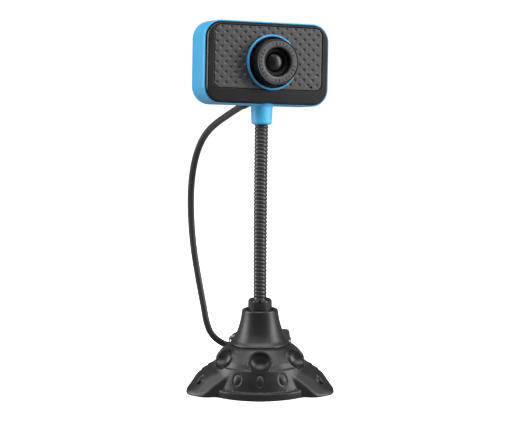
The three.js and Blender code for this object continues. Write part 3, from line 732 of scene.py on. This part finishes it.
stand_in(base(), "base", "base_black", "base_shell")
bell = rounded([
    (14.8, 27.7, 0.1), (17.75, 27.7, 0.3), (17.3, 28.5, 0.6), (15.8, 30.2, 1), (13.5, 34.4, 3), (11.9, 39.4, 3),
    (10.8, 45, 2), (10.45, 48, 1.2), (7.7, 48, 0.7), (7.7, 43, 0.3), (8.6, 42, 0.3), (11, 35, 1),
], 0.5, 6)
stand_in(lathe("bell_skirt", bell, BLACK), "base", "base_black", "bell_sleeve")


def collar():
    """The clamp that grips the neck, with its top slit into eight fingers."""
    notches, slit_bottom, slit_r = 8, 52.2, 4.6

    def reach(r, z, a):
        slit = abs((a * notches / TURN + 0.5) % 1 - 0.5) * TURN / notches * r
        if z > slit_bottom and r > slit_r:
            return r - (r - slit_r) * (1 - eased((slit - 0.25) / 0.35))
        return r

    outline = rounded([
        (4.05, 27.7, 0.2), (7, 27.7, 0.3), (7, 40, 0.1), (7, 52, 0.1), (7, 52.7, 0.6), (6.4, 53.9, 0.8),
        (4.85, 54, 0.4), (4.05, 53.4, 0.3),
    ], 0.3, 5)
    return lathe("neck_clamp", outline, BLACK, segments=192, reach=reach)


stand_in(collar(), "base", "base_black", "neck_collar")


def driver_screw(name, place, radius, low, high):
    """A pan-head screw with a cross recess. It points along z, with its head's top at high."""
    outline = rounded([
        (0.001, low), (radius, low, 0.1), (radius, (low + high) / 2, 0.2), (radius * 0.72, high, 0.4),
        (0.001, high, 0),
    ], 0.2, 4)
    made = lathe(name, outline, STEEL, place, 32)
    blades = []
    for w, h in ((0.5, radius * 1.15), (radius * 1.15, 0.5)):
        rings = [slab_ring(w * t, h * t, 0.1, z, 2) for z, t in ((high - 0.75, 0.7), (high + 0.5, 1))]
        blades.append(loft("blade", rings, STEEL, place))
    return drilled(made, blades)


UNDER = ROW @ Matrix.Rotation(math.pi, 4, "X")
for i, angle in enumerate(BOSS_ANGLES):
    spot = Matrix.Translation((COVER_SCREW_R * math.cos(angle), -COVER_SCREW_R * math.sin(angle), 0))
    screw = driver_screw(f"cover_bolt_{i + 1}", UNDER @ spot, 2.6, -2.6, -1.15)
    stand_in(screw, "base", "steel", f"cover_screw_{i + 1}")


def bottom_cover():
    """The disc that closes the base, with a recess for the pad and a hole for each screw."""
    outline = rounded([
        (0.001, 2.6, 0), (30.7, 2.6, 0.2), (30.7, 1.1, 0.3), (28.6, 1.1, 0.2), (28.3, 1.5, 0.2), (23.6, 1.5, 0.2),
        (23.3, 1.1, 0.2), (20.9, 1.1, 0.2), (20.6, 1.5, 0.2), (0.001, 1.5, 0),
    ], 0.2, 3)
    made = lathe("base_cover", outline, BLACK)
    holes = []
    for angle in BOSS_ANGLES:
        place = ROW @ Matrix.Translation((COVER_SCREW_R * math.cos(angle), COVER_SCREW_R * math.sin(angle), 0))
        holes.append(cutter(place, 2.9, 0, 4, BLACK, 32))
    return drilled(made, holes)


stand_in(bottom_cover(), "base", "base_black", "bottom_cover")
pad = rounded([
    (0.001, 1.45, 0), (20, 1.45, 0.1), (20, 0, 0.5), (19, 0, 0.3), (18.8, 0.25, 0.2), (0.001, 0.25, 0),
], 0.2, 4)
stand_in(lathe("foam_pad", pad, RUBBER), "base", "pad_rubber", "non_slip_pad")


# ---- gooseneck ----
def neck_curve(t):
    """The neck's middle, from inside the collar to inside the stem, as one even bend."""
    bottom = np.array((0, 0, NECK_BOTTOM))
    top = np.array(JOINTS["head_swivel"]["pos_m"]) / MM
    up = np.array(JOINTS["head_swivel"]["axis"])
    span = np.linalg.norm(top - bottom)
    a, b = np.array((0, 0, span)), up / np.linalg.norm(up) * span
    t = np.asarray(t)[:, None]
    curve = (2 * t**3 - 3 * t**2 + 1) * bottom + (t**3 - 2 * t**2 + t) * a
    return curve + (3 * t**2 - 2 * t**3) * top + (t**3 - t**2) * b


def neck_pieces():
    """The spiral tube in as many pieces as it has links. It runs on a little into the collar and the stem."""
    pitch, valley, bulge, step, spare, sides = 2.2, 0.55, 0.55, 0.2, 3.0, 32
    count = round((NECK_LENGTH + 2 * spare) / step)
    along = np.linspace(-spare, NECK_LENGTH + spare, count + 1)
    line = neck_curve(along / NECK_LENGTH)
    low, high = along < 0, along > NECK_LENGTH
    line[low] = (0, 0, NECK_BOTTOM) + along[low, None] * np.array((0, 0, 1.0))
    up = np.array(Vector(JOINTS["head_swivel"]["axis"]).normalized())
    line[high] = neck_curve([1.0])[0] + (along[high, None] - NECK_LENGTH) * up
    rings = []
    for s, point, (a, b) in zip(along, line, carried_frames(line)):
        ring = []
        for k in range(sides):
            w = TURN * k / sides
            wire = abs(math.sin(math.pi * (s / pitch + k / sides)))
            r = NECK_R - valley * (1 - wire**bulge)
            ring.append(point + r * (math.cos(w) * a + math.sin(w) * b))
        rings.append(ring)
    link = NECK_LENGTH / LINKS
    for i in range(1, LINKS + 1):
        first = 0 if i == 1 else int(np.argmin(abs(along - (i - 1) * link)))
        last = count if i == LINKS else int(np.argmin(abs(along - i * link)))
        made = loft(f"neck_sleeve_{i}", rings[first : last + 1], NECK, capped=False, sharp=60)
        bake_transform(made)
        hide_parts(f"neck_link_{i}", *(["neck_ferrule"] if i == 1 else []))


neck_pieces()


# ---- head ----
def head_ring(inset, z, corner=HEAD_CORNER):
    """The head's outline at that depth, drawn in by that much."""
    return slab_ring(HEAD_W - 2 * inset, HEAD_H - 2 * inset, corner - inset, z, 10, 0, HEAD_MID)


def rear_shell():
    """The blue cup: a back with rounded edges, straight sides, a thin front rim and the socket for the neck."""
    edge_r, flat = 4, 4.6
    rings = [head_ring(flat, SHELL_BACK)]
    for k in range(9):
        a = math.pi / 2 * k / 8
        rings.append(head_ring(edge_r * (1 - math.sin(a)), SHELL_BACK + edge_r * (1 - math.cos(a))))
    for inset, z in ((0, -4), (0, 2), (0, 6.0), (0.12, 6.35), (0.4, 6.5), (0.75, 6.42), (0.85, 6.1), (0.85, 2.0),
                     (1.8, 2.0), (1.8, -8), (2.2, -11), (4.2, -12.5)):
        rings.append(head_ring(inset, z))
    cup = loft("head_shell", rings, BLUE, HEAD)
    holes = []
    for x in (-SHELL_SCREW_X, SHELL_SCREW_X):
        place = HEAD @ Matrix.Translation((x, HEAD_MID, 0))
        holes.append(cutter(place, 2.7, -20, -12.6, BLUE, 40))
    cup = drilled(cup, holes)
    stem_profile = rounded([
        (4.05, 0, 0.3), (5.4, 0, 0.9), (5.95, 0.9, 0.7), (6.1, 4, 1), (6.3, 9.4, 1), (6.5, 10.6, 0.8),
        (7.5, 11.25, 0.2), (6.4, 12.5, 0.1), (4.05, 12.5, 0.1),
    ], 0.3, 6)
    # The stem takes the brighter copy of the blue, painted light on its front.
    stem = lathe("stem", stem_profile, STEM_PAINTED_LIGHT, HEAD @ Matrix.Rotation(-math.pi / 2, 4, "X"))
    return together("head_shell", [cup, stem])


def bezel():
    """The glossy black front: a rounded edge, a flat border and a pocket for the panel."""
    inset, edge_in, edge_from, edge_rise, back = 1.15, 0.85, 6.6, 2.0, 2.3
    outer = [head_ring(inset, back), head_ring(inset, edge_from)]
    for k in range(1, 9):
        a = math.pi / 2 * k / 8
        outer.append(head_ring(inset + edge_in * (1 - math.cos(a)), edge_from + edge_rise * math.sin(a)))
    outer.append(head_ring(inset + edge_in + 0.1, FACE_Z))
    pocket = [
        slab_ring(PANEL_W + 2 * g, PANEL_H + 2 * g, PANEL_CORNER + g, z, 10, 0, PANEL_Y)
        for g, z in ((0.6, FACE_Z), (0.5, FACE_Z), (0.35, 8.5), (0.28, 8.1), (0.28, 7.0), (-2, 7.0), (-2, 5.2))
    ]
    inside = [head_ring(4, 5.2, 9.5), head_ring(3, back, 9.5)]
    return loft("head_bezel", outer + pocket + inside + outer[:1], BEZEL, HEAD, capped=False)


def within_corners(x, y):
    """The point, drawn in to the panel's rounded corners."""
    cx, cy = PANEL_W / 2 - PANEL_CORNER, PANEL_H / 2 - PANEL_CORNER
    dx, dy = abs(x) - cx, abs(y - PANEL_Y) - cy
    if dx <= 0 or dy <= 0:
        return x, y
    pull = max(dx, dy) / math.hypot(dx, dy)
    return math.copysign(cx + dx * pull, x), PANEL_Y + math.copysign(cy + dy * pull, y - PANEL_Y)


def panel():
    """A satin plate with staggered rows of small round dents, a lens opening and a microphone hole."""
    step = 0.25
    pitch, row, dent_r, dent_depth = 5.8, 2.9, 1.15, 0.55
    aside, below = -0.9, 0.55
    edge_width, edge_drop = 0.5, 0.22
    xs = np.linspace(-PANEL_W / 2, PANEL_W / 2, round(PANEL_W / step) + 1)
    ys = np.linspace(PANEL_Y - PANEL_H / 2, PANEL_Y + PANEL_H / 2, round(PANEL_H / step) + 1)
    points = []
    for y in ys:
        for x in xs:
            j = round((y - PANEL_Y + below) / row)
            shift = 0.5 * pitch * (j % 2) + aside
            i = round((x - shift) / pitch)
            off = math.hypot(x - shift - i * pitch, y - PANEL_Y - j * row + below)
            z = FACE_Z - 0.02
            room = min(PANEL_W / 2 - abs(i * pitch + shift), PANEL_H / 2 - abs(j * row - below))
            if off < dent_r and room > 0.45:
                z -= dent_depth * (1 - (off / dent_r) ** 2)
            edge = min(PANEL_W / 2 - abs(x), PANEL_H / 2 - abs(y - PANEL_Y))
            z -= edge_drop * max(0, 1 - edge / edge_width) ** 2
            points.append((*within_corners(x, y), z))
    width = len(xs)
    faces = []
    for r in range(len(ys) - 1):
        for c in range(width - 1):
            mx, my = (xs[c] + xs[c + 1]) / 2, (ys[r] + ys[r + 1]) / 2
            in_lens = math.hypot(mx - LENS[0], my - LENS[1]) < LENS_OPENING_R
            if in_lens or math.hypot(mx - MIC[0], my - MIC[1]) < MIC_R:
                continue
            k = r * width + c
            faces.append((k, k + 1, k + width + 1, k + width))
    made = build("dimple_panel", points, faces, PANEL, HEAD, sharp=60)
    thick = made.modifiers.new("thickness", "SOLIDIFY")
    thick.thickness = 0.9 * MM
    thick.offset = -1
    return applied(made)


stand_in(rear_shell(), "head", "shell_blue", "rear_shell")
stand_in(bezel(), "head", "bezel_black", "front_bezel")
stand_in(panel(), "head", "panel_grey", "front_panel")
trim = rounded([
    (14.8, 6.4, 0.1), (15.2, 6.4, 0.1), (15.2, 8.75, 0.05), (15.95, 8.75, 0.1), (15.95, 10.3, 0.4),
    (14.8, 10.3, 0.5),
], 0.3, 6)
stand_in(lathe("lens_trim", trim, TRIM, OPTICS, 128), "head", "trim_blue", "lens_trim_ring")
# The dish lines the recess between the trim ring and the focus ring; its dark navy colour is painted shade.
dish = rounded([
    (8, 4.2, 0.1), (15.1, 4.2, 0.1), (15.1, 6.5, 0.1), (14.78, 9.9, 0.05), (14.5, 9.7, 0.05), (14.3, 5.9, 0.6),
    (8, 5.4, 0.1),
], 0.2, 5)
stand_in(lathe("lens_dish", dish, DISH_NAVY_SHADE, OPTICS, 128), "head", "lens_black")


def focus_ring():
    """The turning ring: a fluted side in a near-black finish that paints shade on it, with a scale of plain ticks
    round its front, and the paler face plate.
    """
    flutes, side_r, marks, mark_r = 48, 13.2, 30, 10.75
    top, web = FOCUS_FRONT, FOCUS_WEB

    def reach(r, z, a):
        if 8.4 < z < top - 1.6 and r > 13:
            return r - 0.14 * (0.5 + 0.5 * math.cos(flutes * a))
        return r

    outline = rounded([
        (9.4, 7.5, 0.1), (9.4, web, 0.1), (12, web, 0.1), (12, 7.5, 0.1), (side_r, 7.5, 0.3), (side_r, 8.3, 0.05),
        (side_r, 10, 0.05), (side_r, 13, 0.05), (side_r, top - 1.5, 0.05), (side_r, top - 0.35, 0.4),
        (12.85, top - 0.1, 0.2),
        (12.2, top - 0.3, 0.1), (12.2, top - 1.2, 0.1), (9.2, top - 1.2, 0.1), (9.2, top - 0.8, 0.1),
        (8.4, top - 0.6, 0.3), (8.1, top - 1.4, 0.4), (8.1, 7.5, 0.1),
    ], 0.3, 5)
    # The body takes the near-black finish, which paints shade on the side wall.
    body = lathe("focus_body", outline, FOCUS_SHADE_AND_TICKS, OPTICS, 240, reach=reach)
    plate = rounded([
        (12.15, top - 0.9, 0.05), (12.15, top - 0.2, 0.15), (11.9, top, 0.1), (9.6, top, 0.2),
        (8.7, top - 0.3, 0.3), (8.6, top - 0.9, 0.1),
    ], 0.2, 4)
    face = lathe("focus_face", plate, FOCUS, OPTICS, 160)
    ticks = []
    for k in range(marks):
        if k % 10 in (0, 1):
            continue
        long, wide = 2.2 if k % 5 == 3 else 1.4, 0.6
        rings = [
            slab_ring(long - 2 * e, wide - 2 * e, 0.08, z, 2, mark_r, 0)
            for e, z in ((0, top - 0.3), (0, top + 0.1), (0.08, top + 0.16))
        ]
        ticks.append(loft("tick", rings, FOCUS_SHADE_AND_TICKS, OPTICS @ Matrix.Rotation(TURN * k / marks, 4, "Z")))
    return together("focus_body", [body, *ticks]), face


ring_side, ring_face = focus_ring()
stand_in(ring_side, "focus", "focus_grey", "focus_ring")
stand_in(ring_face, "focus", "focus_grey")
barrel = rounded([
    (3.4, -1, 0.1), (6, -1, 0.2), (6, 11.5, 0.1), (7.8, 11.5, 0.2), (7.8, 14, 0.3), (7.1, 14, 0.2),
    (6.8, 13.6, 0.1), (6.5, 13.6, 0.1), (6.3, 13.2, 0.1), (6.0, 13.2, 0.1), (5.75, 12.6, 0.1), (5.75, 11.2, 0.1),
    (3.4, 11.2, 0.1),
], 0.2, 3)
stand_in(lathe("lens_tube", barrel, TUBE_BLACK, OPTICS), "focus", "lens_black", "lens_barrel")
dome = [(0.001, 11.5), (5.6, 11.5), (5.6, 12.0)] + [
    (5.5 * math.cos(math.radians(a)), 12.0 + 2.0 * math.sin(math.radians(a))) for a in range(6, 90, 6)
] + [(0.001, 14.0)]
stand_in(lathe("lens_dome", dome, GLASS, OPTICS), "focus", "lens_glass", "front_lens")
for i, x in enumerate((-SHELL_SCREW_X, SHELL_SCREW_X)):
    place = HEAD @ Matrix.Translation((x, HEAD_MID, 0)) @ Matrix.Rotation(math.pi, 4, "X")
    screw = driver_screw(f"shell_bolt_{i + 1}", place, 2.4, 12.7, 14.0)
    stand_in(screw, "head", "steel", f"shell_screw_{i + 1}")


def strain_relief():
    """The ribbed, tapering sleeve that leads the cord out of the back. Its z runs out of the shell."""
    place = HEAD @ Matrix.Translation((0, GLAND_Y, SHELL_BACK)) @ Matrix.Rotation(-GLAND_DROOP, 4, "X")
    outline = [(0.001, 3.4), (2.9, 3.4), (2.9, 2.1), (2.3, 2.1), (2.3, -1.15), (3.6, -1.15)]
    outline += [(3.6, -1.9), (3.3, -2.3)]
    for k in range(25):
        z = -2.4 - 0.42 * k
        taper = 3.15 - 0.027 * k
        outline.append((taper - (0.32 if k % 4 > 1 and k < 23 else 0), z))
    outline += [(2.3, -12.7), (0.001, -12.7)]
    return lathe("cord_sleeve", outline, CORD, place, 40)


stand_in(strain_relief(), "head", "cord_jacket", "cord_gland")

# ---- parts that keep their CAD shape ----
KEPT = {
    STEEL: ["neck_lock_nut", "neck_retaining_nut", "microphone", "board_screw_1", "board_screw_2"],
    IRON: ["counterweight"],
    TUBE_BLACK: ["lens_holder"],
    GLASS: ["rear_lens"],
    FILTER: ["ir_filter"],
    SENSOR: ["image_sensor"],
    BOARD: ["main_board"],
    WHITE: ["cord_connector", "plug_tongue"],
    CORD: ["cord_lead"],
}
for material, names in KEPT.items():
    for name in names:
        frame["nodes"][name].data.materials.clear()
        frame["nodes"][name].data.materials.append(material)


# ---- stage, lights and view ----
def lamp(name, place, target, width, height, watts):
    """A soft box that faces its target."""
    data = bpy.data.lights.new(name, "AREA")
    data.shape = "RECTANGLE"
    data.size, data.size_y, data.energy = width, height, watts
    made = bpy.data.objects.new(name, data)
    made.location = place
    made.rotation_euler = (Vector(target) - Vector(place)).to_track_quat("-Z", "Y").to_euler()
    bpy.context.scene.collection.objects.link(made)


def seen_or_lit(tree, seen, lit, out):
    """One shader for what the camera sees directly and another for what lights the object."""
    nodes, links = tree.nodes, tree.links
    mix = nodes.new("ShaderNodeMixShader")
    links.new(nodes.new("ShaderNodeLightPath").outputs["Is Camera Ray"], mix.inputs["Fac"])
    links.new(lit.outputs[0], mix.inputs[1])
    links.new(seen.outputs[0], mix.inputs[2])
    links.new(mix.outputs[0], out.inputs["Surface"])


def stage():
    """A sheet of white paper under the base."""
    half, drop = 6.0, 0.0002
    paper = finish_of("floor_paper", (0.85, 0.85, 0.85, 1), 0.9, grain=300, mottle=0.01)
    tree = paper.node_tree
    seen = tree.nodes["Principled BSDF"]
    seen.inputs["Emission Color"].default_value = (1, 1, 1, 1)
    seen.inputs["Emission Strength"].default_value = 0.96
    lit = tree.nodes.new("ShaderNodeBsdfDiffuse")
    lit.inputs["Color"].default_value = (0.3, 0.3, 0.3, 1)
    seen_or_lit(tree, seen, lit, tree.nodes["Material Output"])
    corners = [(-half, -half, 0), (half, -half, 0), (half, half, 0), (-half, half, 0)]
    floor = build("floor", corners, [(0, 1, 2, 3)], paper, Matrix.Translation((0, 0, -drop)))


def world():
    """A plain white surround that lights the object only faintly."""
    made = bpy.data.worlds.new("studio")
    made.use_nodes = True
    nodes = made.node_tree.nodes
    nodes.clear()
    seen, lit = nodes.new("ShaderNodeBackground"), nodes.new("ShaderNodeBackground")
    seen.inputs["Strength"].default_value = 1.0
    lit.inputs["Strength"].default_value = 0.16
    for node in (seen, lit):
        node.inputs["Color"].default_value = (1, 1, 1, 1)
    seen_or_lit(made.node_tree, seen, lit, nodes.new("ShaderNodeOutputWorld"))
    bpy.context.scene.world = made


stage()
world()
lamp("left_box", (-0.95, 0.0, 0.42), (0, 0, 0.12), 0.4, 0.8, 11)
lamp("right_box", (0.94, -0.2, 0.4), (0, 0, 0.12), 0.4, 0.8, 12)
lamp("top_box", (0, -0.35, 1.15), (0, 0, 0.1), 1.5, 0.6, 17)
bpy.context.scene.view_settings.view_transform = "Standard"
